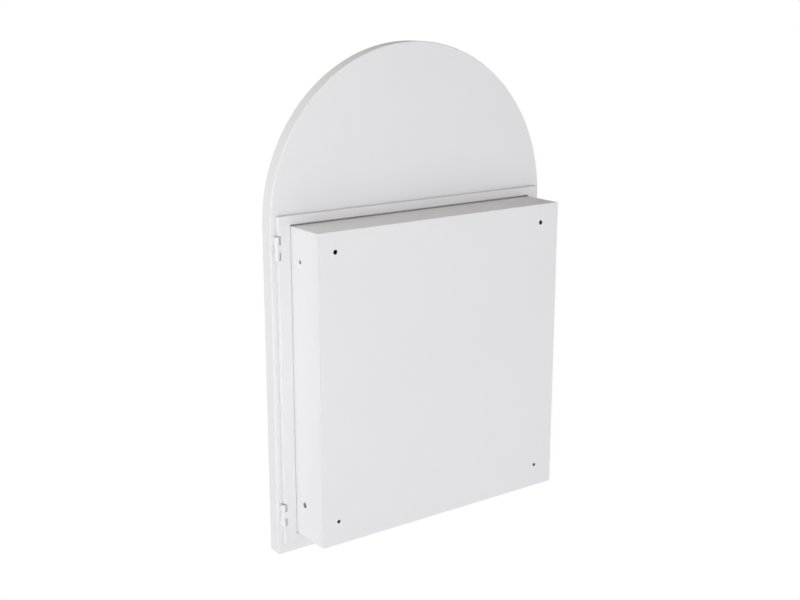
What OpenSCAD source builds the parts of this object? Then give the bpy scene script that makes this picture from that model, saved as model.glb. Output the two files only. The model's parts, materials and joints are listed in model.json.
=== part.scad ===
// Arched mirror cabinet with a hinged steel door and a shallow steel box.
// Seen from the front, X runs to the right, Z up and Y into the wall. The origin is the centre
// of the back panel's outer face, which rests on the wall.

/* [Door] */
// Width of the door, and of the half circle at its top
door_w = 511; // [480:1:560]
// Height of the door, bottom edge to the top of the arch
door_h = 763; // [755:1:900]
// Thickness of the door
door_t = 22.5; // [20:0.5:34]
// Sheet thickness of the door's pan
door_sheet = 1; // [0.8:0.1:1.4]
// Outer bend radius round the door's back edge
door_bend_r = 1.5; // [1.5:0.1:2.6]
// Radius of the door's two bottom corners
door_corner_r = 4; // [3.2:0.1:8]
// Gap between the door's back and the face frame
door_gap = 0.5; // [0.5:0.1:3]

/* [Mirror] */
// Thickness of the mirror glass
mirror_t = 4; // [3:0.5:6]
// Gap between the glass and the trim round its edge
mirror_gap = 0.8; // [0.4:0.1:1.5]
// Sheet thickness of the trim that holds the glass
trim_sheet = 1.2; // [0.8:0.1:1.6]
// Width of the trim's lip in front of the glass
trim_lip = 6; // [4:0.5:12]
// Depth of the trim's leg inside the pan
trim_leg = 9; // [7:0.5:10]
// Thickness of the bonding strips
tape_t = 1; // [0.5:0.1:2]
// Width of a bonding strip
tape_w = 30; // [15:1:45]
// Spacing of the bonding strips
tape_spacing = 150; // [80:1:165]
// Distance of the strips' lower ends above the door's bottom edge
tape_rise = 40; // [20:1:120]
// Distance of the strips' upper ends above the spring of the arch
tape_reach = 60; // [0:1:110]
// Distance of the backing board inside the door's edge
board_inset = 9; // [8:0.5:20]

/* [Face frame] */
// Distance from the face frame's side to the door's edge
door_overlap = 8.5; // [6:0.1:14]
// Distance from the door's bottom edge up to the face frame
frame_rise = 17.5; // [8:0.5:40]
// Height of the face frame's top above the spring of the arch
frame_lift = 16; // [-20:0.5:20]
// Depth of the face frame
frame_t = 7.5; // [7.5:0.1:12]
// Sheet thickness of the face frame
frame_sheet = 0.8; // [0.6:0.1:0.9]
// Outer bend radius along the face frame's edges
frame_bend_r = 0.9; // [0.9:0.1:2]
// Radius of the face frame's corners, seen from the front
frame_corner_r = 2.5; // [2.5:0.1:6]
// Width of the face frame's side rails outside the box
stile_w = 20.5; // [18:0.5:32]
// Height of the face frame's top and bottom rails outside the box
rail_h = 15.25; // [14:0.25:24]

/* [Box] */
// Depth of the box behind the face frame
box_depth = 73; // [60:1:130]
// Sheet thickness of the box
box_sheet = 1.2; // [0.8:0.1:1.4]
// Outer bend radius of the box's four long edges
box_bend_r = 1.5; // [1.5:0.1:3]
// Thickness of the box's doubled edge round the back panel
box_rim = 2.4; // [1.6:0.1:3]
// Depth of the box's doubled edge
rim_depth = 8; // [5:0.5:12]
// Gap between the box's flanks and the face frame's back sheet
side_gap = 0.6; // [0.5:0.1:3]
// Gap between the box's top and bottom and the face frame's back sheet
end_gap = 2.2; // [0.5:0.1:3]
// Sheet thickness of the back panel
back_sheet = 1; // [0.8:0.1:1.2]
// Outer bend radius round the back panel
back_bend_r = 1.3; // [1.3:0.1:2.2]
// Depth of the back panel's folded edge
back_hem = 2.5; // [2.5:0.5:5]

/* [Wall holes] */
// Distance of the upper holes below the box's top
wall_hole_drop = 29.25; // [20:0.25:60]
// Distance of the lower holes above the box's bottom
wall_hole_rise = 36.25; // [20:0.25:60]
// Distance of the holes on the hinge side from the box's flank
wall_hole_hinge_inset = 29; // [20:0.5:60]
// Distance of the holes on the free side from the box's flank
wall_hole_free_inset = 36; // [20:0.5:60]
// Diameter of the upper wall holes
upper_wall_hole_d = 7.2; // [4:0.1:9]
// Diameter of the lower wall holes
lower_wall_hole_d = 5.6; // [4:0.1:9]

/* [Flank holes] */
// Distance of a flank's upper hole below the box's top
flank_hole_drop = 48.75; // [30:0.25:90]
// Distance of a flank's lower hole above the box's bottom
flank_hole_rise = 52.75; // [30:0.25:90]
// Distance of the flank holes behind the face frame
flank_hole_setback = 24.5; // [24:0.5:32]
// Diameter of the upper flank holes
upper_flank_hole_d = 6; // [3:0.1:9]
// Diameter of the lower flank holes
lower_flank_hole_d = 9; // [3:0.1:9]

/* [Hinges] */
// Diameter of a hinge barrel
barrel_d = 7.5; // [6.5:0.1:8.5]
// Length of a hinge barrel
barrel_len = 33.5; // [28:0.5:60]
// Gap between two knuckles
knuckle_gap = 0.2; // [0.1:0.1:0.6]
// Gap between the barrel and the door's back
barrel_gap = 0.25; // [0.2:0.05:0.6]
// Diameter of the hinge pin
pin_d = 3.5; // [3:0.1:4]
// Radial clearance of the pin in a knuckle
pin_clearance = 0.05; // [0.02:0.01:0.08]
// Diameter of the pin's head
pin_head_d = 5; // [4.5:0.1:6.5]
// Thickness of the pin's head
pin_head_t = 0.6; // [0.4:0.1:0.9]
// Thickness of the hinge leaves
leaf_t = 1.6; // [1.2:0.1:2]
// Depth of the door leaf inside the pan
leaf_depth = 10; // [8:0.5:10]
// Depth of the door leaf's cut-out behind the middle knuckle, inside the pan
leaf_relief = 4; // [2:0.5:5]
// Thickness of the pad between the door leaf and the pan's wall
hinge_pad_t = 3.6; // [1.5:0.1:4]
// Clearance of a leaf in its slot
leaf_clearance = 0.2; // [0.1:0.05:0.3]
// Gap beside a barrel in the face frame's notch
notch_gap = 0.9; // [0.3:0.1:2]
// Gap above a barrel in its notch
notch_top_gap = 2; // [1.2:0.1:6]
// Gap below a barrel in its notch
notch_bottom_gap = 0.5; // [0.5:0.1:4]
// Distance of the upper barrel's centre below the face frame's top
upper_hinge_drop = 46.5; // [40:0.5:90]
// Distance of the lower barrel's centre above the face frame's bottom
lower_hinge_rise = 47.5; // [40:0.5:90]

/* [Shelves] */
// Thickness of the glass shelves
shelf_t = 5; // [4:0.5:8]
// Gap between a shelf's side edge and the standards
shelf_side_gap = 1; // [0.5:0.1:3]
// Gap between a shelf and the back panel
shelf_back_gap = 3; // [1:0.5:6]
// Gap between a shelf and the face frame's rear plane
shelf_front_gap = 4; // [0:0.5:10]
// Radius of a shelf's corners
shelf_corner_r = 3; // [1:0.5:8]
// Width of the slotted standards
standard_w = 14; // [12:0.5:16]
// Depth of the slotted standards
standard_d = 4.5; // [4:0.1:6]
// Sheet thickness of the standards
standard_sheet = 1; // [0.8:0.1:1.2]
// Gap between the box's doubled edge and the rear standards
rear_standard_gap = 2; // [0.5:0.5:5]
// Gap between the face frame's rear plane and the front standards
front_standard_gap = 5; // [2:0.5:7]
// Distance from the box's top and bottom to the standards' ends
standard_end_gap = 14; // [5:1:30]
// Spacing of the slots in a standard
slot_pitch = 25; // [20:0.5:32]
// Width of a slot
slot_w = 7; // [5:0.5:9]
// Height of a slot
slot_h = 2.5; // [2.2:0.1:3.5]
// Slot of the lower shelf, counted from the middle of the standard
lower_shelf_slot = -3; // [-5:1:-1]
// Slot of the upper shelf, counted from the middle of the standard
upper_shelf_slot = 3; // [1:1:5]
// Sheet thickness of a shelf clip
clip_t = 1.5; // [1:0.1:2]
// Length of a clip's ledge under the shelf
clip_reach = 12; // [8:0.5:18]
// Width of a clip's ledge
clip_w = 10; // [9:0.5:12]
// Height of a clip's leg along the standard
clip_leg = 10; // [6:0.5:14]
// Length of a clip's tongue behind the standard's web
clip_tongue = 2.2; // [1:0.1:2.6]

/* [Catches and stops] */
// Distance of the magnetic catches from the face frame's top and bottom
catch_inset = 102; // [50:1:200]
// Diameter of a catch's cup
cup_d = 12; // [10.5:0.5:14]
// Diameter of the cup's rim
cup_rim_d = 15; // [14.5:0.5:17]
// Thickness of the cup's rim
cup_rim_t = 0.3; // [0.2:0.05:0.4]
// Diameter of a catch's magnet
magnet_d = 9; // [6:0.5:9.5]
// Thickness of a catch's magnet
magnet_t = 3.5; // [2:0.1:4]
// Clearance of a magnet or cup in its seat
seat_clearance = 0.1; // [0.05:0.05:0.2]
// Diameter of a soft stop
bumper_d = 9; // [6:0.5:10]
// Gap that the closed door leaves between a soft stop and the face frame
bumper_gap = 0.2; // [0.1:0.1:0.4]

/* [Hidden] */
$fn = 96;

// A cut runs this far past the face that it opens
past = 1;
// Flat pieces of one sheet overlap its bent edges by this much
lap = 0.4;

// Depths, from the wall towards the room
frame_back_y = -box_depth;
frame_front_y = frame_back_y - frame_t;
door_back_y = frame_front_y - door_gap;
door_front_y = door_back_y - door_t;
glass_front_y = door_front_y + trim_sheet;
glass_back_y = glass_front_y + mirror_t;
board_front_y = glass_back_y + tape_t;
board_back_y = door_back_y - door_sheet;

// Widths and heights of the cabinet
frame_w = door_w - 2 * door_overlap;
frame_h = door_h - door_w / 2 - frame_rise + frame_lift;
box_w = frame_w - 2 * stile_w;
box_h = frame_h - 2 * rail_h;
box_in_w = box_w - 2 * box_sheet;
box_in_h = box_h - 2 * box_sheet;
back_w = box_w - 2 * box_rim;
back_h = box_h - 2 * box_rim;

// Heights of the door
door_bottom_z = -frame_h / 2 - frame_rise;
spring_z = door_bottom_z + door_h - door_w / 2;

// Hinge axis, knuckles and notch
barrel_r = barrel_d / 2;
axis_x = door_w / 2 - door_sheet - hinge_pad_t - barrel_r;
axis_y = door_back_y + barrel_gap + barrel_r;
knuckle_h = (barrel_len - 2 * knuckle_gap) / 3;
knuckle_step = knuckle_h + knuckle_gap;
pin_bore_r = pin_d / 2 + pin_clearance;
notch_x = min(axis_x - barrel_r - notch_gap, frame_w / 2 - frame_sheet - leaf_clearance);
notch_h = barrel_len + notch_bottom_gap + notch_top_gap;
notch_middle = (notch_top_gap - notch_bottom_gap) / 2;
pocket_front_y = frame_front_y + frame_sheet;
pocket_d = frame_t - 2 * frame_sheet;
pocket_end_x = frame_w / 2 - frame_bend_r;
cabinet_leaf_back_y = frame_back_y - frame_sheet;
arm_back_y = min(axis_y + barrel_r, cabinet_leaf_back_y);
cabinet_leaf_x = box_w / 2 + side_gap + leaf_clearance;
door_leaf_x = axis_x + barrel_r - leaf_t;
door_leaf_front_y = board_back_y - leaf_depth;
upper_hinge_z = frame_h / 2 - upper_hinge_drop;
lower_hinge_z = -frame_h / 2 + lower_hinge_rise;

// Slots, standards and shelves
standard_h = box_in_h - 2 * standard_end_gap;
slot_reach = floor((standard_h / 2 - slot_h) / slot_pitch);
web_x = box_in_w / 2 - standard_d;
rear_standard_y = -rim_depth - rear_standard_gap - standard_w / 2;
front_standard_y = frame_back_y + front_standard_gap + standard_w / 2;
clip_ledge = clip_t - slot_h / 2;
clip_hook = slot_h - clip_t;
shelf_w = 2 * (web_x - shelf_side_gap);
shelf_back_y = -back_sheet - shelf_back_gap;
shelf_front_y = frame_back_y + shelf_front_gap;

// Catches and stops
catch_x = -(frame_w - stile_w) / 2;
catch_z = frame_h / 2 - catch_inset;
cup_len = frame_t - frame_sheet - leaf_clearance;
bumper_x = (frame_w - stile_w) / 2;
bumper_z = (frame_h - rail_h) / 2;
bumper_t = door_gap - bumper_gap;

// Extrudes an outline drawn as X across and Y up into an upright plate between two depths
module upright(front_y, back_y) {
    translate([0, back_y, 0])
        rotate([90, 0, 0])
            linear_extrude(height = back_y - front_y)
                children();
}

// Rectangle about the origin with round corners
module rounded_rect(w, h, r) {
    square([w - 2 * r, h], center = true);
    square([w, h - 2 * r], center = true);
    for (x = [-1, 1], y = [-1, 1])
        translate([x * (w / 2 - r), y * (h / 2 - r)])
            circle(r = r);
}

// Outline of the door, drawn in from its edge by inset
module door_outline(inset) {
    half = door_w / 2 - inset;
    corner = door_corner_r - inset;
    bottom = door_bottom_z + inset;
    translate([0, spring_z])
        circle(r = half);
    if (corner > 0) {
        translate([-half, bottom + corner])
            square([2 * half, spring_z - bottom - corner]);
        translate([corner - half, bottom])
            square([2 * (half - corner), spring_z - bottom]);
        for (side = [-1, 1])
            translate([side * (half - corner), bottom + corner])
                circle(r = corner);
    } else {
        translate([-half, bottom])
            square([2 * half, spring_z - bottom]);
    }
}

// Section of a sheet edge bent forward: X runs in from the edge and Y forward from the back
module bent_edge(bend_r, sheet, leg) {
    translate([0, bend_r])
        square([sheet, leg - bend_r]);
    translate([bend_r, 0])
        square([lap, sheet]);
    intersection() {
        square(bend_r);
        translate([bend_r, bend_r])
            difference() {
                circle(r = bend_r);
                circle(r = bend_r - sheet);
            }
    }
}

// Carries a section up one side; side is 1 on the right and -1 on the left
module side_edge(x, back_y, bottom_z, top_z, side) {
    translate([side * x, back_y, bottom_z])
        linear_extrude(height = top_z - bottom_z)
            face_in(side)
                children();
}

// Turns a section so that it faces in from the right or the left side
module face_in(side) {
    if (side > 0)
        rotate(180)
            children();
    else
        mirror([0, 1])
            children();
}

// Carries a section across the bottom, where up is 1, or across the top, where up is -1
module level_edge(half, back_y, z, up) {
    translate([-half, back_y, z])
        rotate([90, 0, 90])
            linear_extrude(height = 2 * half)
                if (up > 0)
                    rotate(90)
                        children();
                else
                    mirror([1, 1, 0])
                        children();
}

// Carries a section round an arc about a centre, from a start angle through a turn
module arc_edge(x, back_y, z, radius, start, turn) {
    translate([x, back_y, z])
        rotate([90, 0, 0])
            rotate([0, 0, start])
                rotate_extrude(angle = turn)
                    translate([radius, 0])
                        mirror([1, 0])
                            children();
}

// Round hole through a wall that stands across Y
module hole_along_y(x, z, d, front_y, back_y) {
    translate([x, back_y + past, z])
        rotate([90, 0, 0])
            cylinder(h = back_y - front_y + 2 * past, d = d);
}

// The wrapper: one sheet bent round the top, the bottom and both flanks, doubled along its rear edge
module box_shell() {
    color("white")
        difference() {
            union() {
                upright(frame_front_y + frame_sheet, 0)
                    difference() {
                        rounded_rect(box_w, box_h, box_bend_r);
                        rounded_rect(box_in_w, box_in_h, box_bend_r - box_sheet);
                    }
                upright(-rim_depth, 0)
                    difference() {
                        rounded_rect(box_w, box_h, box_bend_r);
                        square([back_w, back_h], center = true);
                    }
            }
            flank_holes(upper_flank_hole_d, box_h / 2 - flank_hole_drop);
            flank_holes(lower_flank_hole_d, flank_hole_rise - box_h / 2);
        }
}

// A pair of holes, one through each flank
module flank_holes(d, z) {
    for (side = [-1, 1])
        translate([side * (box_w - box_sheet) / 2, frame_back_y + flank_hole_setback, z])
            rotate([0, 90, 0])
                cylinder(h = box_sheet + 2 * past, d = d, center = true);
}

// The back: a flat sheet whose four edges fold forward inside the wrapper
module back_panel() {
    color("white")
        difference() {
            union() {
                upright(-back_sheet, 0)
                    square([back_w - 2 * back_bend_r, back_h - 2 * back_bend_r], center = true);
                for (side = [-1, 1]) {
                    side_edge(back_w / 2, 0, back_bend_r - back_h / 2, back_h / 2 - back_bend_r, side)
                        bent_edge(back_bend_r, back_sheet, back_hem);
                    level_edge(back_w / 2 - back_bend_r, 0, side * back_h / 2, -side)
                        bent_edge(back_bend_r, back_sheet, back_hem);
                }
            }
            wall_holes(upper_wall_hole_d, box_h / 2 - wall_hole_drop);
            wall_holes(lower_wall_hole_d, wall_hole_rise - box_h / 2);
        }
}

// A pair of holes through the back panel
module wall_holes(d, z) {
    hole_along_y(box_w / 2 - wall_hole_hinge_inset, z, d, -back_sheet, 0);
    hole_along_y(wall_hole_free_inset - box_w / 2, z, d, -back_sheet, 0);
}

// The ring round the box's mouth, a sheet folded to a channel that opens towards the box
module face_frame() {
    corner_x = frame_w / 2 - frame_corner_r;
    corner_z = frame_h / 2 - frame_corner_r;
    color("white")
        difference() {
            union() {
                upright(frame_back_y - frame_sheet, frame_back_y)
                    frame_plate(box_w + 2 * side_gap, box_h + 2 * end_gap, box_bend_r + side_gap);
                upright(frame_front_y, frame_front_y + frame_sheet)
                    frame_plate(box_in_w, box_in_h, box_bend_r - box_sheet);
                for (side = [-1, 1]) {
                    side_edge(frame_w / 2, frame_back_y, -corner_z, corner_z, side)
                        channel_edge();
                    level_edge(corner_x, frame_back_y, side * frame_h / 2, -side)
                        channel_edge();
                    for (up = [-1, 1])
                        arc_edge(side * corner_x, frame_back_y, up * corner_z, frame_corner_r,
                                 side > 0 ? (up > 0 ? 0 : 270) : (up > 0 ? 90 : 180), 90)
                            channel_edge();
                }
            }
            hinge_notch(upper_hinge_z);
            hinge_notch(lower_hinge_z);
            for (side = [-1, 1])
                hole_along_y(catch_x, side * catch_z, cup_d + 2 * seat_clearance,
                             frame_front_y, frame_front_y + frame_sheet);
        }
}

// Flat ring inside the bent edges of the face frame, with an opening
module frame_plate(open_w, open_h, open_r) {
    difference() {
        rounded_rect(frame_w - 2 * frame_bend_r, frame_h - 2 * frame_bend_r, frame_corner_r - frame_bend_r);
        rounded_rect(open_w, open_h, open_r);
    }
}

// Section of the face frame's outer wall with a bend at the back and one at the front
module channel_edge() {
    bent_edge(frame_bend_r, frame_sheet, frame_t / 2);
    translate([0, frame_t])
        mirror([0, 1])
            bent_edge(frame_bend_r, frame_sheet, frame_t / 2);
}

// Room for a hinge barrel in the face frame's side
module hinge_notch(z) {
    translate([notch_x, frame_front_y - past, z + notch_middle - notch_h / 2])
        cube([frame_w / 2 - notch_x + past, frame_t + 2 * past, notch_h]);
}

// Four slotted channels, two on each flank, open towards the flank
module shelf_standards() {
    color("white")
        for (side = [-1, 1], y = [rear_standard_y, front_standard_y])
            difference() {
                translate([side * (web_x + standard_d / 2), y, 0])
                    cube([standard_d, standard_w, standard_h], center = true);
                translate([side * (web_x + standard_sheet + standard_d / 2), y, 0])
                    cube([standard_d, standard_w - 2 * standard_sheet, standard_h + 2 * past], center = true);
                for (i = [-slot_reach:slot_reach])
                    translate([side * (web_x + standard_sheet / 2), y, i * slot_pitch])
                        cube([standard_sheet + 2 * past, slot_w, slot_h], center = true);
            }
}

// Clips under both shelves: a hooked tongue in the slot, a ledge for the glass, a leg on the web
module shelf_clips() {
    color("silver")
        for (slot = [lower_shelf_slot, upper_shelf_slot], side = [-1, 1], y = [rear_standard_y, front_standard_y])
            translate([side * web_x, y, slot * slot_pitch])
                mirror([side > 0 ? 1 : 0, 0, 0])
                    shelf_clip();
}

// One clip with the web's face at X = 0, the shelf on its +X side and the slot's middle at Z = 0
module shelf_clip() {
    tongue_w = slot_w - 2 * seat_clearance;
    translate([-standard_sheet - clip_tongue, -tongue_w / 2, clip_ledge - clip_t])
        cube([standard_sheet + clip_tongue + clip_t, tongue_w, clip_t]);
    translate([-standard_sheet - clip_tongue, -tongue_w / 2, clip_ledge - clip_t - clip_hook])
        cube([clip_tongue - seat_clearance, tongue_w, clip_t + clip_hook]);
    translate([0, -clip_w / 2, clip_ledge - clip_t])
        cube([clip_reach, clip_w, clip_t]);
    translate([0, -clip_w / 2, clip_ledge - clip_leg])
        cube([clip_t, clip_w, clip_leg]);
}

// A glass shelf that rests on the clips at a slot
module shelf(slot) {
    translate([0, (shelf_back_y + shelf_front_y) / 2, slot * slot_pitch + clip_ledge])
        linear_extrude(height = shelf_t)
            rounded_rect(shelf_w, shelf_back_y - shelf_front_y, shelf_corner_r);
}

module lower_shelf() {
    color("lightcyan")
        shelf(lower_shelf_slot);
}

module upper_shelf() {
    color("lightcyan")
        shelf(upper_shelf_slot);
}

// Bore for the pin through a whole barrel
module pin_bore() {
    cylinder(h = barrel_len + 2 * past, r = pin_bore_r, center = true);
}

// Hinge leaf with the middle knuckle, welded inside the face frame's channel. Its pocket lines
// the notch at the side and at both ends.
module cabinet_leaf(z) {
    color("white")
        translate([0, 0, z])
            difference() {
                union() {
                    translate([axis_x, axis_y, 0])
                        cylinder(h = knuckle_h, r = barrel_r, center = true);
                    translate([notch_x - leaf_t, arm_back_y - leaf_t, -knuckle_h / 2])
                        cube([axis_x - notch_x + leaf_t, leaf_t, knuckle_h]);
                    translate([cabinet_leaf_x, cabinet_leaf_back_y - leaf_t, notch_middle - notch_h / 2])
                        cube([notch_x - cabinet_leaf_x, leaf_t, notch_h]);
                    difference() {
                        translate([notch_x - leaf_t, pocket_front_y, notch_middle - notch_h / 2 - leaf_t])
                            cube([pocket_end_x - notch_x + leaf_t, pocket_d, notch_h + 2 * leaf_t]);
                        translate([notch_x, pocket_front_y - past, notch_middle - notch_h / 2])
                            cube([pocket_end_x - notch_x + past, pocket_d + 2 * past, notch_h]);
                    }
                }
                translate([axis_x, axis_y, 0])
                    pin_bore();
            }
}

module upper_cabinet_leaf() {
    cabinet_leaf(upper_hinge_z);
}

module lower_cabinet_leaf() {
    cabinet_leaf(lower_hinge_z);
}

// Hinge leaf with the two end knuckles; its arms pass through the slot in the door's back
module door_leaf(z) {
    color("white")
        translate([0, 0, z])
            difference() {
                union() {
                    for (end = [-1, 1])
                        translate([0, 0, end * knuckle_step - knuckle_h / 2]) {
                            translate([axis_x, axis_y, 0])
                                cylinder(h = knuckle_h, r = barrel_r);
                            translate([door_leaf_x, door_leaf_front_y, 0])
                                cube([leaf_t, axis_y - door_leaf_front_y, knuckle_h]);
                        }
                    translate([door_leaf_x, door_leaf_front_y, -barrel_len / 2])
                        cube([leaf_t, leaf_depth - leaf_relief, barrel_len]);
                }
                translate([axis_x, axis_y, 0])
                    pin_bore();
            }
}

module upper_door_leaf() {
    door_leaf(upper_hinge_z);
}

module lower_door_leaf() {
    door_leaf(lower_hinge_z);
}

// Pin through the three knuckles, with a flat head on top
module hinge_pin(z) {
    color("gainsboro")
        translate([axis_x, axis_y, z]) {
            cylinder(h = barrel_len + 2 * knuckle_gap, d = pin_d, center = true);
            translate([0, 0, barrel_len / 2 + knuckle_gap])
                cylinder(h = pin_head_t, d = pin_head_d);
        }
}

module upper_hinge_pin() {
    hinge_pin(upper_hinge_z);
}

module lower_hinge_pin() {
    hinge_pin(lower_hinge_z);
}

// Plastic cups let into the face frame's free stile
module magnet_cups() {
    color("whitesmoke")
        for (side = [-1, 1])
            translate([catch_x, frame_front_y, side * catch_z])
                rotate([90, 0, 0])
                    difference() {
                        union() {
                            translate([0, 0, -cup_len])
                                cylinder(h = cup_len, d = cup_d);
                            cylinder(h = cup_rim_t, d = cup_rim_d);
                        }
                        translate([0, 0, cup_rim_t - magnet_t])
                            cylinder(h = magnet_t + past, d = magnet_d + 2 * seat_clearance);
                    }
}

// Disc magnets, flush with the rims of their cups
module catch_magnets() {
    color("dimgray")
        for (side = [-1, 1])
            translate([catch_x, frame_front_y - cup_rim_t, side * catch_z])
                rotate([-90, 0, 0])
                    cylinder(h = magnet_t, d = magnet_d);
}

// The door's pan: a flat back whose edge bends forward all round
module door_shell() {
    corner_x = door_w / 2 - door_corner_r;
    corner_z = door_bottom_z + door_corner_r;
    color("white")
        difference() {
            union() {
                upright(door_back_y - door_sheet, door_back_y)
                    door_outline(door_bend_r);
                arc_edge(0, door_back_y, spring_z, door_w / 2, 0, 180)
                    pan_edge();
                level_edge(corner_x, door_back_y, door_bottom_z, 1)
                    pan_edge();
                for (side = [-1, 1]) {
                    side_edge(door_w / 2, door_back_y, corner_z, spring_z, side)
                        pan_edge();
                    arc_edge(side * corner_x, door_back_y, corner_z, door_corner_r, side > 0 ? 270 : 180, 90)
                        pan_edge();
                }
            }
            leaf_slots(upper_hinge_z);
            leaf_slots(lower_hinge_z);
        }
}

module pan_edge() {
    bent_edge(door_bend_r, door_sheet, door_t);
}

// Two slots in the door's back for the arms of a door leaf
module leaf_slots(z) {
    for (end = [-1, 1])
        translate([
            door_leaf_x - leaf_clearance,
            door_back_y - door_sheet - past,
            z + end * knuckle_step - knuckle_h / 2 - leaf_clearance
        ])
            cube([leaf_t + 2 * leaf_clearance, door_sheet + 2 * past, knuckle_h + 2 * leaf_clearance]);
}

// Slim ring that holds the glass: a lip in front of it and a leg inside the pan's wall
module front_trim() {
    color("white") {
        upright(door_front_y, door_front_y + trim_sheet)
            difference() {
                door_outline(door_sheet);
                door_outline(door_sheet + trim_lip);
            }
        upright(door_front_y + trim_sheet, door_front_y + trim_leg)
            difference() {
                door_outline(door_sheet);
                door_outline(door_sheet + trim_sheet);
            }
    }
}

module mirror_glass() {
    color("lightsteelblue")
        upright(glass_front_y, glass_back_y)
            door_outline(door_sheet + trim_sheet + mirror_gap);
}

// Upright bonding strips between the glass and its board
module mirror_tape() {
    color("gray")
        upright(glass_back_y, board_front_y)
            for (i = [-1:1])
                translate([i * tape_spacing - tape_w / 2, door_bottom_z + tape_rise])
                    square([tape_w, spring_z + tape_reach - door_bottom_z - tape_rise]);
}

// Light core between the strips and the pan's back
module backing_board() {
    color("tan")
        upright(board_front_y, board_back_y)
            door_outline(board_inset);
}

// Plates between the door leaves and the pan's wall
module hinge_pads() {
    color("white")
        for (z = [upper_hinge_z, lower_hinge_z])
            translate([axis_x + barrel_r, door_leaf_front_y, z - barrel_len / 2])
                cube([hinge_pad_t, door_back_y - door_bend_r - door_leaf_front_y, barrel_len]);
}

// Soft stops on the door's back at the face frame's corners
module bumpers() {
    color("whitesmoke")
        for (x = [-1, 1], z = [-1, 1])
            translate([x * bumper_x, door_back_y, z * bumper_z])
                rotate([-90, 0, 0])
                    cylinder(h = bumper_t, d = bumper_d);
}

box_shell();
back_panel();
face_frame();
shelf_standards();
shelf_clips();
lower_shelf();
upper_shelf();
upper_cabinet_leaf();
lower_cabinet_leaf();
upper_hinge_pin();
lower_hinge_pin();
magnet_cups();
catch_magnets();
door_shell();
front_trim();
mirror_glass();
mirror_tape();
backing_board();
upper_door_leaf();
lower_door_leaf();
hinge_pads();
bumpers();
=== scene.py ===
"""Looks of the arched mirror cabinet: powder-coated steel, bevelled mirror, glass shelves, studio light."""

import json

import bpy
import numpy as np
from mathutils import Matrix, Vector


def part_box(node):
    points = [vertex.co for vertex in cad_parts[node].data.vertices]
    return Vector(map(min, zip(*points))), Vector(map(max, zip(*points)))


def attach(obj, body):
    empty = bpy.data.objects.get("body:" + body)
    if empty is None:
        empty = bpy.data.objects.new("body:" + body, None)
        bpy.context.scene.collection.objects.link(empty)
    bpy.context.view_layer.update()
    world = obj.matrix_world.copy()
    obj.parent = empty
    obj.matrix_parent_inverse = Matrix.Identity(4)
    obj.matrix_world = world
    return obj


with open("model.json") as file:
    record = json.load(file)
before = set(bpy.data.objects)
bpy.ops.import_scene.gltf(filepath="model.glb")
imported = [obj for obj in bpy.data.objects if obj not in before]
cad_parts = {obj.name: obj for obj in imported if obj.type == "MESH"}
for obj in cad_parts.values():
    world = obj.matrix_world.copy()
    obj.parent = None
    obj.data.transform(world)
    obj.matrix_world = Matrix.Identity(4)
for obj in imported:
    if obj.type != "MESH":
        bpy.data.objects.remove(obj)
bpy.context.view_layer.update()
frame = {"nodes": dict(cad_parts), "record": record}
record = frame["record"]

# The camera stands behind the cabinet, on its hinge side. Its angles are in degrees, its lens and sensor in
# millimetres. All other lengths here are in metres.
CAMERA_AT = (1.1252, 1.4363, 0.5699)
CAMERA_YAW = -35.908
CAMERA_PITCH = 14.161
CAMERA_LENS = 55.72
CAMERA_SENSOR = 36
CAMERA_REACH = 200


def place_camera():
    """Camera that looks along its yaw and down by its pitch, without roll."""
    yaw = np.radians(CAMERA_YAW)
    pitch = np.radians(CAMERA_PITCH)
    forward = Vector((np.sin(yaw) * np.cos(pitch), -np.cos(yaw) * np.cos(pitch), -np.sin(pitch)))
    right = forward.cross(Vector((0, 0, 1))).normalized()
    up = right.cross(forward)
    data = bpy.data.cameras.new("camera")
    data.sensor_width = CAMERA_SENSOR
    data.lens = CAMERA_LENS
    data.clip_end = CAMERA_REACH
    camera = bpy.data.objects.new("camera", data)
    bpy.context.scene.collection.objects.link(camera)
    turn = Matrix((right, up, -forward)).transposed().to_4x4()
    camera.matrix_world = Matrix.Translation(Vector(CAMERA_AT)) @ turn
    bpy.context.scene.camera = camera


place_camera()

# Places of a mix node's sockets when it mixes colours
MIX_SHARE = 0
MIX_FIRST = 6
MIX_SECOND = 7
MIX_RESULT = 2


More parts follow.
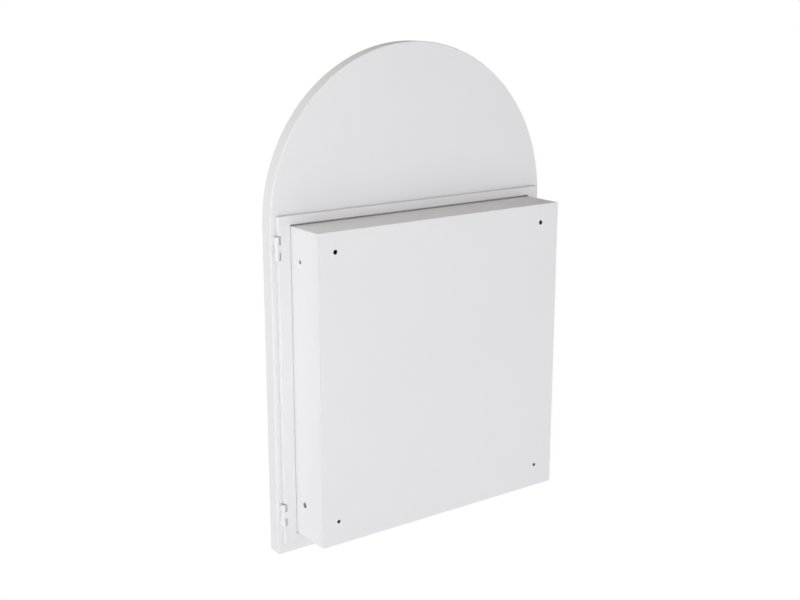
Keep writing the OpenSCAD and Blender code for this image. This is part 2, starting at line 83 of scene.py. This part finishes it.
class Recipe:
    """Node tree of one material, with short calls for the nodes that all the finishes share."""

    def __init__(self, name):
        self.material = bpy.data.materials.new(name)
        self.material.use_nodes = True
        self.nodes = self.material.node_tree.nodes
        self.links = self.material.node_tree.links
        self.shader = self.nodes["Principled BSDF"]
        self.place = self.nodes.new("ShaderNodeTexCoord").outputs["Object"]

    def set(self, **values):
        """Constant values straight on the shader's sockets, named with underscores for spaces."""
        for key, value in values.items():
            self.shader.inputs[key.replace("_", " ")].default_value = value

    def join(self, output, socket):
        self.links.new(output, self.shader.inputs[socket])

    def stretched(self, x, y, z):
        """Object coordinates with their own scale along each axis."""
        node = self.nodes.new("ShaderNodeMapping")
        node.inputs["Scale"].default_value = (x, y, z)
        self.links.new(self.place, node.inputs["Vector"])
        return node.outputs["Vector"]

    def noise(self, scale, detail=2.0, roughness=0.5, place=None):
        node = self.nodes.new("ShaderNodeTexNoise")
        node.inputs["Scale"].default_value = scale
        node.inputs["Detail"].default_value = detail
        node.inputs["Roughness"].default_value = roughness
        self.links.new(place or self.place, node.inputs["Vector"])
        return node.outputs["Fac"]

    def cells(self, scale):
        """Distance to the nearest point of a random set, as in foam."""
        node = self.nodes.new("ShaderNodeTexVoronoi")
        node.inputs["Scale"].default_value = scale
        self.links.new(self.place, node.inputs["Vector"])
        return node.outputs["Distance"]

    def ramp(self, value, stops):
        """Colour ramp through (place, colour) stops; a number stands for a grey."""
        node = self.nodes.new("ShaderNodeValToRGB")
        elements = node.color_ramp.elements
        while len(elements) < len(stops):
            elements.new(0.5)
        for element, (place, color) in zip(elements, stops):
            element.position = place
            color = color if hasattr(color, "__len__") else (color, color, color)
            element.color = (*color, 1)
        self.links.new(value, node.inputs["Fac"])
        return node.outputs["Color"]

    def spread(self, value, low, high):
        """Carries a 0 to 1 value to the range low to high."""
        node = self.nodes.new("ShaderNodeMapRange")
        node.inputs["To Min"].default_value = low
        node.inputs["To Max"].default_value = high
        self.links.new(value, node.inputs["Value"])
        return node.outputs["Result"]

    def blend(self, share, first, second):
        """First colour where the share is 0, second where it is 1."""
        node = self.nodes.new("ShaderNodeMix")
        node.data_type = "RGBA"
        self.links.new(share, node.inputs[MIX_SHARE])
        self.links.new(first, node.inputs[MIX_FIRST])
        self.links.new(second, node.inputs[MIX_SECOND])
        return node.outputs[MIX_RESULT]

    def bump(self, height, depth, strength=1.0, after=None):
        """Bump of a depth in metres, on top of an earlier one."""
        node = self.nodes.new("ShaderNodeBump")
        node.inputs["Strength"].default_value = strength
        node.inputs["Distance"].default_value = depth
        self.links.new(height, node.inputs["Height"])
        if after is not None:
            self.links.new(after, node.inputs["Normal"])
        return node.outputs["Normal"]

    def standing(self):
        """0 on level faces and 1 on upright ones, from the face's own direction."""
        split = self.nodes.new("ShaderNodeSeparateXYZ")
        self.links.new(self.nodes.new("ShaderNodeNewGeometry").outputs["Normal"], split.inputs[0])
        size = self.nodes.new("ShaderNodeMath")
        size.operation = "ABSOLUTE"
        self.links.new(split.outputs["Z"], size.inputs[0])
        return self.spread(size.outputs[0], 1.0, 0.0)


def powder_coat():
    """Satin white powder coat: faint cloudy tone, fine orange peel and a slow waviness of the sheet."""
    r = Recipe("powder_coat")
    r.join(r.ramp(r.noise(6.0, 3.0), [(0.3, 0.793), (0.7, 0.807)]), "Base Color")
    r.join(r.spread(r.noise(35.0, 3.0), 0.41, 0.49), "Roughness")
    wave = r.bump(r.noise(9.0, 1.0), 0.0004, 0.3)
    r.join(r.bump(r.noise(500.0, 2.0), 0.000008, 0.5, wave), "Normal")
    return r.material


def zinc_steel():
    """Bright zinc plating: bluish and yellowish clouds over fine drawing streaks along the part."""
    r = Recipe("zinc_steel")
    tint = r.noise(55.0, 4.0)
    clouds = r.ramp(tint, [(0.3, (0.60, 0.62, 0.66)), (0.55, (0.68, 0.69, 0.70)), (0.75, (0.70, 0.68, 0.62))])
    r.join(clouds, "Base Color")
    streaks = r.noise(60.0, 4.0, 0.6, r.stretched(14.0, 14.0, 1.0))
    r.join(r.spread(streaks, 0.24, 0.42), "Roughness")
    r.join(r.bump(streaks, 0.00002, 0.4), "Normal")
    r.set(Metallic=1.0)
    return r.material


def shelf_glass():
    """Clear float glass, with the deeper green of its ground edges on the upright faces."""
    r = Recipe("shelf_glass")
    face = r.ramp(r.noise(3.0), [(0.3, (0.93, 0.975, 0.955)), (0.7, (0.95, 0.985, 0.97))])
    edge = r.ramp(r.noise(60.0), [(0.3, (0.42, 0.72, 0.62)), (0.7, (0.50, 0.78, 0.68))])
    upright = r.standing()
    r.join(r.blend(upright, face, edge), "Base Color")
    r.join(r.spread(upright, 0.01, 0.22), "Roughness")
    r.join(r.bump(r.noise(4.0, 1.0), 0.0001, 0.1), "Normal")
    r.set(Transmission_Weight=1.0, IOR=1.52)
    return r.material


def mirror_silver():
    """Silvered glass: cool bright reflection, a breath of haze and the slight waviness of float glass."""
    r = Recipe("mirror_silver")
    r.join(r.ramp(r.noise(2.5, 2.0), [(0.3, (0.86, 0.885, 0.90)), (0.7, (0.88, 0.90, 0.915))]), "Base Color")
    r.join(r.spread(r.noise(12.0, 5.0, 0.6), 0.01, 0.05), "Roughness")
    r.join(r.bump(r.noise(3.0, 1.0), 0.0001, 0.08), "Normal")
    r.set(Metallic=1.0)
    return r.material


def bonding_foam():
    """Dark closed-cell foam of the bonding strips, pitted by its cut cells, with painted shade darkening the
    pits.
    """
    r = Recipe("bonding_foam")
    pores_and_pit_shade = r.cells(1400.0)
    # The colour is darker towards the bottom of each cell's pit: painted shade in the cells' hollows
    r.join(r.ramp(pores_and_pit_shade, [(0.1, (0.030, 0.030, 0.033)), (0.6, (0.075, 0.075, 0.080))]), "Base Color")
    r.join(r.spread(r.noise(200.0), 0.75, 0.92), "Roughness")
    r.join(r.bump(pores_and_pit_shade, 0.0003, 0.6), "Normal")
    return r.material


def core_board():
    """Raw fibre board: tan pulp with short darker and lighter fibres lying in the sheet."""
    r = Recipe("core_board")
    fibre = r.noise(420.0, 5.0, 0.65, r.stretched(1.0, 5.0, 1.8))
    pulp = r.noise(14.0, 3.0)
    light = r.ramp(fibre, [(0.3, (0.36, 0.25, 0.15)), (0.5, (0.52, 0.39, 0.25)), (0.72, (0.64, 0.51, 0.35))])
    dark = r.ramp(fibre, [(0.3, (0.30, 0.20, 0.12)), (0.7, (0.50, 0.37, 0.24))])
    r.join(r.blend(pulp, light, dark), "Base Color")
    r.join(r.spread(pulp, 0.78, 0.92), "Roughness")
    r.join(r.bump(fibre, 0.0002, 0.5), "Normal")
    return r.material


def cup_plastic():
    """Moulded white plastic of the catch cups, with the fine texture of its mould."""
    r = Recipe("cup_plastic")
    r.join(r.ramp(r.noise(90.0, 3.0), [(0.3, (0.74, 0.74, 0.73)), (0.7, (0.79, 0.79, 0.78))]), "Base Color")
    r.join(r.spread(r.noise(250.0), 0.34, 0.44), "Roughness")
    r.join(r.bump(r.noise(2200.0), 0.00002, 0.5), "Normal")
    return r.material


def magnet_metal():
    """Nickel-plated magnet: warm grey metal with turning marks and a few duller spots."""
    r = Recipe("magnet_metal")
    r.join(r.ramp(r.noise(300.0, 4.0), [(0.3, (0.42, 0.41, 0.39)), (0.7, (0.55, 0.54, 0.52))]), "Base Color")
    r.join(r.spread(r.noise(700.0, 3.0), 0.22, 0.42), "Roughness")
    r.join(r.bump(r.cells(2500.0), 0.00002, 0.3), "Normal")
    r.set(Metallic=1.0)
    return r.material


def stop_rubber():
    """Soft translucent stop: milky clear rubber with a slightly dusty skin."""
    r = Recipe("stop_rubber")
    r.join(r.ramp(r.noise(120.0, 3.0), [(0.3, (0.70, 0.71, 0.72)), (0.7, (0.80, 0.81, 0.82))]), "Base Color")
    r.join(r.spread(r.noise(260.0, 3.0), 0.30, 0.50), "Roughness")
    r.join(r.bump(r.noise(500.0), 0.00003, 0.4), "Normal")
    r.set(Transmission_Weight=0.35, IOR=1.41)
    return r.material


finishes = {
    make.__name__: make()
    for make in (
        powder_coat,
        zinc_steel,
        shelf_glass,
        mirror_silver,
        bonding_foam,
        core_board,
        cup_plastic,
        magnet_metal,
        stop_rubber,
    )
}
for part in record["subparts"]:
    piece = frame["nodes"][part["node"]]
    piece.data.materials.clear()
    piece.data.materials.append(finishes[part["material_slot"]])


SMOOTH_ANGLE = np.radians(1.6)


def add_piece(name, points, faces, body, slot):
    """Puts computed points and faces into a mesh that rides on a body and has a slot's finish.

    Edges where the faces turn by less than SMOOTH_ANGLE are shaded round, and the others stay sharp.
    """
    mesh = bpy.data.meshes.new(name)
    mesh.from_pydata(points.tolist(), [], [list(face) for face in faces])
    mesh.validate()
    mesh.shade_smooth()
    mesh.set_sharp_from_angle(angle=SMOOTH_ANGLE)
    mesh.materials.append(finishes[slot])
    piece = bpy.data.objects.new(name, mesh)
    bpy.context.scene.collection.objects.link(piece)
    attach(piece, body)


def loop_faces(rings, steps, closed):
    """Four-cornered faces between neighbouring rings of points; closed joins the last ring to the first."""
    ring, step = np.meshgrid(np.arange(rings if closed else rings - 1), np.arange(steps), indexing="ij")
    here = ring * steps
    above = (ring + 1) % rings * steps
    after = (step + 1) % steps
    return np.stack([here + step, here + after, above + after, above + step], -1).reshape(-1, 4)


# The mirror's bevelled pane lies inside the trim's lip, in front of the plain glass
LIP_INSET = 0.007
PANE_GAP = 0.0002
BEVEL_WIDTH = 0.013
BEVEL_DROP = 0.0007
PANE_SETBACK = 0.0002
ARC_STEPS = 192

door_low, door_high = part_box("door_shell")
glass_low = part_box("mirror_glass")[0]
trim_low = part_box("front_trim")[0]


def arch(inset):
    """Door outline drawn in by inset, counterclockwise seen from the front.

    It runs along the bottom edge, then along the half circle x = r cos(t), z = spring + r sin(t) for t from 0
    to half a turn, with r the half width less the inset; the sides close it.
    """
    spring = door_high.z - door_high.x
    radius = door_high.x - inset
    bottom = door_low.z + inset
    turn = np.linspace(0, np.pi, ARC_STEPS + 1)
    x = np.concatenate([[-radius, radius], radius * np.cos(turn)])
    z = np.concatenate([[bottom, bottom], spring + radius * np.sin(turn)])
    return x, z


def mirror_face():
    """Bevelled pane as three arch outlines, each at its own depth: rear rim, front rim, top of the slope."""
    front = trim_low.y + PANE_SETBACK
    rim = LIP_INSET + PANE_GAP
    levels = [
        (rim, glass_low.y + PANE_SETBACK),
        (rim, front + BEVEL_DROP),
        (rim + BEVEL_WIDTH, front),
    ]
    points = []
    for inset, depth in levels:
        x, z = arch(inset)
        points.append(np.stack([x, np.full_like(x, depth), z], -1))
    steps = len(points[0])
    sides = loop_faces(len(levels), steps, False)
    back = np.arange(steps)[::-1]
    face = np.arange(steps) + (len(levels) - 1) * steps
    add_piece("mirror_face", np.concatenate(points), [*sides, back, face], "door", "mirror_silver")


# Build-up of the coat round a punched hole; the offset moves the ring outwards by a share of half its width
ROLL_WIDTH = 0.0007
ROLL_HEIGHT = 0.00012
ROLL_OFFSET = 0.8
ROLL_STEPS = 48
ROLL_SECTION = 12
PER_METRE = 1000


def hole_places():
    """Centre on the outer face, outward direction and radius of each hole, from the record's mounts."""
    places = []
    for mount in record["mounts"]:
        at = np.array(mount["pos_m"])
        out = np.array(mount["axis"], float)
        sizes = mount["dims"]
        if mount["kind"] == "bolt_pattern":
            half = np.array([sizes["spacing_x_mm"] / 2 / PER_METRE, 0, 0])
            radius = sizes["hole_r_mm"] / PER_METRE
            places += [(at + half, out, radius), (at - half, out, radius)]
        if mount["kind"] == "bore":
            face = at + out * (sizes["length_mm"] / 2 / PER_METRE)
            places.append((face, out, sizes["r_mm"] / PER_METRE))
    return places


def hole_rolls():
    """Rings with an oval section round each hole.

    At an angle s round the section, the distance from the hole's axis is radius + w / 2 (c + cos(s)) and the
    height over the face h sin(s), with w ROLL_WIDTH, c ROLL_OFFSET and h ROLL_HEIGHT.
    """
    turns = np.arange(ROLL_STEPS) * 2 * np.pi / ROLL_STEPS
    rounds = np.arange(ROLL_SECTION) * 2 * np.pi / ROLL_SECTION
    around, section = np.meshgrid(turns, rounds, indexing="ij")
    across = np.array([0.0, 0.0, 1.0])
    points = []
    faces = []
    for at, out, radius in hole_places():
        beside = np.cross(out, across)
        reach = radius + ROLL_WIDTH / 2 * (ROLL_OFFSET + np.cos(section))
        height = ROLL_HEIGHT * np.sin(section)
        ring = (
            at
            + (reach * np.cos(around))[..., None] * beside
            + (reach * np.sin(around))[..., None] * across
            + height[..., None] * out
        )
        faces.append(loop_faces(ROLL_STEPS, ROLL_SECTION, True) + len(points) * ROLL_STEPS * ROLL_SECTION)
        points.append(ring.reshape(-1, 3))
    add_piece("hole_rolls", np.concatenate(points), np.concatenate(faces), "cabinet", "powder_coat")


# Coat that fills the seam between the back panel's folded edge and the rim round it: flush along the top and
# bottom, and sunk a little along the sides
SEAM_WIDTH = 0.0013
SEAM_LAP = 0.0002
SEAM_SKIN = 0.00002
SEAM_FLOOR = 0.0009
SEAM_SINK = 0.0004
SEAM_RUN_IN = 0.006
SEAM_SIDE_STEPS = 32
SEAM_TOP_STEPS = 9


def seam_coat():
    """Closed bar along the panel's outline, a rectangle drawn in by the distance w from the rim's wall.

    Its rear face lies at y = -skin - sink * k * (1 - (2 w / width - 1)^2) between w = 0 and the seam's width.
    The share k is 0 on the level edges. On the upright ones it grows as 3 q^2 - 2 q^3 over the run-in at each
    end. The steps along an edge are closer together towards its ends.
    """
    panel_low, panel_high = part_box("back_panel")
    rear = np.linspace(-SEAM_LAP, SEAM_WIDTH + SEAM_LAP, SEAM_TOP_STEPS)
    inset = np.concatenate([rear, rear[[-1, 0]]])
    dip = np.clip(1 - (2 * rear / SEAM_WIDTH - 1) ** 2, 0, None)
    dip = np.concatenate([dip, [0, 0]])
    depth = np.concatenate([np.full(SEAM_TOP_STEPS, SEAM_SKIN), [SEAM_FLOOR, SEAM_FLOOR]])

    along = 0.5 - 0.5 * np.cos(np.pi * np.arange(SEAM_SIDE_STEPS) / SEAM_SIDE_STEPS)
    height = panel_high.z - panel_low.z
    near_end = np.clip(np.minimum(along, 1 - along) * height / SEAM_RUN_IN, 0, 1)
    share = near_end**2 * (3 - 2 * near_end)
    corners = [(1, 1), (-1, 1), (-1, -1), (1, -1)]
    rings = []
    for (x0, z0), (x1, z1) in zip(corners, corners[1:] + corners[:1]):
        sink = SEAM_SINK * share if x0 == x1 else np.zeros(SEAM_SIDE_STEPS)
        x = (x0 + (x1 - x0) * along)[:, None] * (panel_high.x - inset)
        z = (z0 + (z1 - z0) * along)[:, None] * (panel_high.z - inset)
        rings.append(np.stack([x, -depth - sink[:, None] * dip, z], -1))
    points = np.concatenate(rings)
    faces = loop_faces(*points.shape[:2], True)
    add_piece("seam_coat", points.reshape(-1, 3), faces, "cabinet", "powder_coat")


mirror_face()
hole_rolls()
seam_coat()

# The studio: an even room, and a floor far below the wall-hung cabinet. Their glow lights the cabinet. Their
# sheen is what it mirrors.
WHITE = (1.0, 1.0, 1.0)
ROOM_GLOW = (0.235, 0.235, 0.235)
ZENITH_GLOW = (0.245, 0.222, 0.196)
ROOM_SHEEN = (0.50, 0.50, 0.50)
FLOOR_SHEEN = (0.88, 0.88, 0.88)
FLOOR_LEVEL = -2.6
FLOOR_SIZE = 120.0
FLOOR_FAR = 24.0

# Square soft boxes on a sphere round the cabinet: azimuth from +X towards +Y and elevation, both in degrees,
# power in watts and colour. A smaller one stands further off in front.
BOX_SIZE = 1.8
BOX_DISTANCE = 2.8
BOX_AIM = (0, -0.05, 0.05)
SOFT_BOXES = {
    "low_front": (-25, -50, 20.25, (0.965, 0.970, 1.0)),
    "high_front": (-25, 40, 19.4, (1.0, 0.976, 0.969)),
    "side": (10, 10, 13.3, (0.917, 0.951, 1.0)),
    "camera": (45, 10, 37.3, (0.972, 0.967, 1.0)),
    "below_camera": (45, -50, 7.11, (1.0, 0.975, 0.993)),
    "low_rear": (80, -20, 13.5, (0.950, 0.968, 1.0)),
    "rear": (115, 10, 14.9, (0.956, 0.958, 1.0)),
    "far_rear": (150, -20, 10.75, (0.937, 0.945, 1.0)),
}
FRONT_BOX_AT = (-0.9, -3.6, 0.1)
FRONT_BOX_SIZE = 0.6
FRONT_BOX_POWER = 75.0


def fade(tree, value, low, high):
    """Colour from low, where the value is 0, to high, where it is 1."""
    node = tree.nodes.new("ShaderNodeValToRGB")
    node.color_ramp.elements[0].color = (*low, 1)
    node.color_ramp.elements[1].color = (*high, 1)
    tree.links.new(value, node.inputs["Fac"])
    return node.outputs["Color"]


def glow(tree, value, light, sheen, target):
    """Gives the target a sheen for mirrored rays, white for the camera and a light for all other rays.

    Light and sheen are pairs of colours, and the value fades each from its first to its second.
    """
    path = tree.nodes.new("ShaderNodeLightPath")
    mirrored = tree.nodes.new("ShaderNodeMix")
    seen = tree.nodes.new("ShaderNodeMix")
    for mix, share in ((mirrored, "Is Glossy Ray"), (seen, "Is Camera Ray")):
        mix.data_type = "RGBA"
        tree.links.new(path.outputs[share], mix.inputs[MIX_SHARE])
    tree.links.new(fade(tree, value, *light), mirrored.inputs[MIX_FIRST])
    tree.links.new(fade(tree, value, *sheen), mirrored.inputs[MIX_SECOND])
    tree.links.new(mirrored.outputs[MIX_RESULT], seen.inputs[MIX_FIRST])
    seen.inputs[MIX_SECOND].default_value = (*WHITE, 1)
    tree.links.new(seen.outputs[MIX_RESULT], target)


def light_room():
    """World round the cabinet, with a light that turns warmer from the horizon to the zenith."""
    world = bpy.data.worlds.new("studio")
    world.use_nodes = True
    tree = world.node_tree
    split = tree.nodes.new("ShaderNodeSeparateXYZ")
    tree.links.new(tree.nodes.new("ShaderNodeTexCoord").outputs["Generated"], split.inputs[0])
    target = tree.nodes["Background"].inputs["Color"]
    glow(tree, split.outputs["Z"], (ROOM_GLOW, ZENITH_GLOW), (ROOM_SHEEN, ROOM_SHEEN), target)
    bpy.context.scene.world = world


def lay_floor():
    """Flat square far below; its sheen is paler near the cabinet than far from it."""
    half = FLOOR_SIZE / 2
    mesh = bpy.data.meshes.new("floor")
    corners = [(-half, -half), (half, -half), (half, half), (-half, half)]
    mesh.from_pydata([(x, y, FLOOR_LEVEL) for x, y in corners], [], [(0, 1, 2, 3)])
    material = bpy.data.materials.new("floor")
    material.use_nodes = True
    tree = material.node_tree
    tree.nodes.remove(tree.nodes["Principled BSDF"])
    shine = tree.nodes.new("ShaderNodeEmission")
    far = tree.nodes.new("ShaderNodeVectorMath")
    far.operation = "LENGTH"
    tree.links.new(tree.nodes.new("ShaderNodeTexCoord").outputs["Object"], far.inputs[0])
    share = tree.nodes.new("ShaderNodeMapRange")
    share.inputs["From Min"].default_value = -FLOOR_LEVEL
    share.inputs["From Max"].default_value = FLOOR_FAR
    tree.links.new(far.outputs["Value"], share.inputs["Value"])
    target = shine.inputs["Color"]
    glow(tree, share.outputs["Result"], (ROOM_GLOW, ROOM_GLOW), (FLOOR_SHEEN, ROOM_SHEEN), target)
    tree.links.new(shine.outputs[0], tree.nodes["Material Output"].inputs["Surface"])
    material.cycles.emission_sampling = "NONE"
    mesh.materials.append(material)
    floor = bpy.data.objects.new("floor", mesh)
    bpy.context.scene.collection.objects.link(floor)


def soft_box(name, at, size, watts, color):
    """Square area light that faces the middle of the cabinet and isn't seen by the camera."""
    data = bpy.data.lights.new(name, "AREA")
    data.shape = "SQUARE"
    data.size = size
    data.energy = watts
    data.color = color
    light = bpy.data.objects.new(name, data)
    bpy.context.scene.collection.objects.link(light)
    aim = Vector(BOX_AIM) - Vector(at)
    light.matrix_world = Matrix.Translation(Vector(at)) @ aim.to_track_quat("-Z", "Y").to_matrix().to_4x4()
    light.visible_camera = False
    return light


light_room()
lay_floor()
# The cabinet's mirror doesn't show the boxes in front of it
for name, (azimuth, elevation, watts, color) in SOFT_BOXES.items():
    around = np.radians(azimuth)
    above = np.radians(elevation)
    direction = np.array([np.cos(above) * np.cos(around), np.cos(above) * np.sin(around), np.sin(above)])
    light = soft_box(name, BOX_DISTANCE * direction, BOX_SIZE, watts, color)
    light.visible_glossy = bool(direction[1] > 0)
soft_box("front", FRONT_BOX_AT, FRONT_BOX_SIZE, FRONT_BOX_POWER, WHITE).visible_glossy = False
bpy.context.scene.view_settings.view_transform = "Standard"
